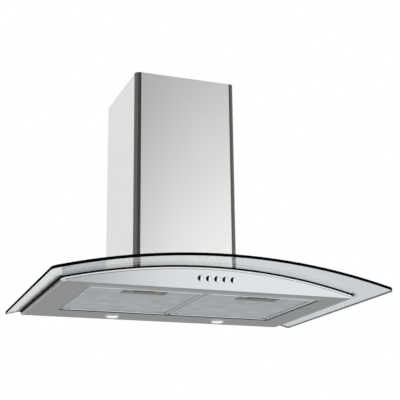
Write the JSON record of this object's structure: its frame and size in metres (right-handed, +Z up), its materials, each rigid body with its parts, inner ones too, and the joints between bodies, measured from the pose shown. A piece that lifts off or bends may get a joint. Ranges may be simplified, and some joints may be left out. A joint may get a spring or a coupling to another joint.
{
  "type": "range hood",
  "caption": "Wall range hood with an arched glass canopy over a low steel body, grease filters that swing down, push buttons, lamps, a blower and a telescopic chimney cover.",
  "frame": {"origin": "on the wall plane, on the hood's centreline, level with the underside plate", "axes": "+X along the wall to the right as seen from the room, +Y into the wall, +Z up"},
  "size_m": [0.7, 0.501, 0.528],
  "materials": {
    "clear_glass": "clear toughened glass with polished edges",
    "black_rubber": "smooth moulded",
    "clear_nylon": "moulded",
    "zinc_screw_steel": "bright zinc",
    "brushed_stainless": "fine satin brush",
    "zinc_coated_sheet": "zinc coated sheet",
    "filter_aluminium": "bright rolled",
    "mesh_aluminium": "expanded mesh",
    "handle_plastic": "fine moulded texture",
    "catch_plastic": "fine moulded texture",
    "dark_corner_plastic": "moulded",
    "spring_steel": "drawn wire",
    "polished_chrome": "polished",
    "black_plastic": "moulded",
    "grey_plastic": "moulded",
    "lamp_ring_steel": "satin",
    "opal_lens": "white, satin outside",
    "white_plastic": "moulded",
    "bulb_glass": "clear",
    "motor_paint": "semi gloss",
    "cable_jacket": "extruded PVC"
  },
  "bodies": {
    "root": {"blower_screws": "zinc_screw_steel", "blower_scroll_left": "black_plastic", "blower_scroll_right": "black_plastic", "body_deck": "zinc_coated_sheet", "body_pan": "brushed_stainless", "cable_grommet": "black_rubber", "capacitor": "grey_plastic", "centre_rail": "zinc_coated_sheet", "chimney_clips": "zinc_coated_sheet", "chimney_lower": "brushed_stainless", "damper_pins": "zinc_screw_steel", "deck_collar": "zinc_coated_sheet", "fascia": "brushed_stainless", "fascia_rivets": "zinc_screw_steel", "filter_hangers": "zinc_coated_sheet", "glass_canopy": "clear_glass", "glass_gasket": "black_rubber", "glass_screws": "zinc_screw_steel", "glass_spacers": "black_rubber", "glass_washers": "clear_nylon", "junction_box": "black_plastic", "junction_lid": "black_plastic", "lamp_bezels": "lamp_ring_steel", "lamp_bulbs": "bulb_glass", "lamp_cups": "white_plastic", "lamp_lenses": "opal_lens", "motor": "motor_paint", "motor_box": "zinc_coated_sheet", "motor_box_screws": "zinc_screw_steel", "motor_bracket": "zinc_coated_sheet", "motor_screws": "zinc_screw_steel", "outlet_collar": "black_plastic", "switch_bank": "black_plastic", "switch_bracket": "zinc_coated_sheet", "switch_cable": "cable_jacket"},
    "filter_left": {"filter_left_frame": "filter_aluminium", "filter_left_face_mesh": "mesh_aluminium", "filter_left_mesh_pack": "mesh_aluminium", "filter_left_handle_tray": "handle_plastic", "filter_left_catch_spring": "spring_steel", "filter_left_hinge_blocks": "dark_corner_plastic"},
    "catch_left": {"filter_left_catch": "catch_plastic"},
    "filter_right": {"filter_right_frame": "filter_aluminium", "filter_right_face_mesh": "mesh_aluminium", "filter_right_mesh_pack": "mesh_aluminium", "filter_right_handle_tray": "handle_plastic", "filter_right_catch_spring": "spring_steel", "filter_right_hinge_blocks": "dark_corner_plastic"},
    "catch_right": {"filter_right_catch": "catch_plastic"},
    "button_light": {"button_light": "polished_chrome"},
    "button_stop": {"button_stop": "polished_chrome"},
    "button_low": {"button_low": "polished_chrome"},
    "button_medium": {"button_medium": "polished_chrome"},
    "button_high": {"button_high": "polished_chrome"},
    "fan": {"impeller": "grey_plastic", "motor_shaft": "zinc_screw_steel"},
    "damper_front": {"damper_flap_front": "black_plastic"},
    "damper_back": {"damper_flap_back": "black_plastic"},
    "upper_cover": {"chimney_upper": "brushed_stainless", "ceiling_bracket": "zinc_coated_sheet", "cover_screws": "zinc_screw_steel"}
  },
  "joints": [
    {"name": "filter_left_swing", "type": "hinge", "parent": "root", "child": "filter_left", "pos_m": [-0.1243, -0.1025, 0.0045], "axis": [1, 0, 0], "range_deg": [0, 75]},
    {"name": "catch_left_slide", "type": "slide", "parent": "filter_left", "child": "catch_left", "axis": [0, 1, 0], "range_m": [-0.0036, 0], "stiffness_N_per_m": 200, "springref_m": -0.0036, "deforming": ["filter_left_catch_spring"]},
    {"name": "filter_right_swing", "type": "hinge", "parent": "root", "child": "filter_right", "pos_m": [0.1243, -0.1025, 0.0045], "axis": [1, 0, 0], "range_deg": [0, 75]},
    {"name": "catch_right_slide", "type": "slide", "parent": "filter_right", "child": "catch_right", "axis": [0, 1, 0], "range_m": [-0.0036, 0], "stiffness_N_per_m": 200, "springref_m": -0.0036, "deforming": ["filter_right_catch_spring"]},
    {"name": "button_light_press", "type": "slide", "parent": "root", "child": "button_light", "axis": [0, 0.9487, 0.3162], "range_m": [0, 0.003], "stiffness_N_per_m": 400, "springref_m": -0.0005},
    {"name": "button_stop_press", "type": "slide", "parent": "root", "child": "button_stop", "axis": [0, 0.9487, 0.3162], "range_m": [0, 0.003], "stiffness_N_per_m": 400, "springref_m": -0.0005},
    {"name": "button_low_press", "type": "slide", "parent": "root", "child": "button_low", "axis": [0, 0.9487, 0.3162], "range_m": [0, 0.003], "stiffness_N_per_m": 400, "springref_m": -0.0005},
    {"name": "button_medium_press", "type": "slide", "parent": "root", "child": "button_medium", "axis": [0, 0.9487, 0.3162], "range_m": [0, 0.003], "stiffness_N_per_m": 400, "springref_m": -0.0005},
    {"name": "button_high_press", "type": "slide", "parent": "root", "child": "button_high", "axis": [0, 0.9487, 0.3162], "range_m": [0, 0.003], "stiffness_N_per_m": 400, "springref_m": -0.0005},
    {"name": "fan_spin", "type": "hinge", "parent": "root", "child": "fan", "pos_m": [0, -0.125, 0.15], "axis": [1, 0, 0], "continuous": true},
    {"name": "damper_back_swing", "type": "hinge", "parent": "root", "child": "damper_back", "pos_m": [0, -0.0868, 0.274], "axis": [1, 0, 0], "range_deg": [0, 80]},
    {"name": "damper_front_swing", "type": "hinge", "parent": "root", "child": "damper_front", "pos_m": [0, -0.0932, 0.274], "axis": [-1, 0, 0], "range_deg": [0, 80]},
    {"name": "upper_cover_slide", "type": "slide", "parent": "root", "child": "upper_cover", "axis": [0, 0, 1], "range_m": [0, 0.34]}
  ]
}
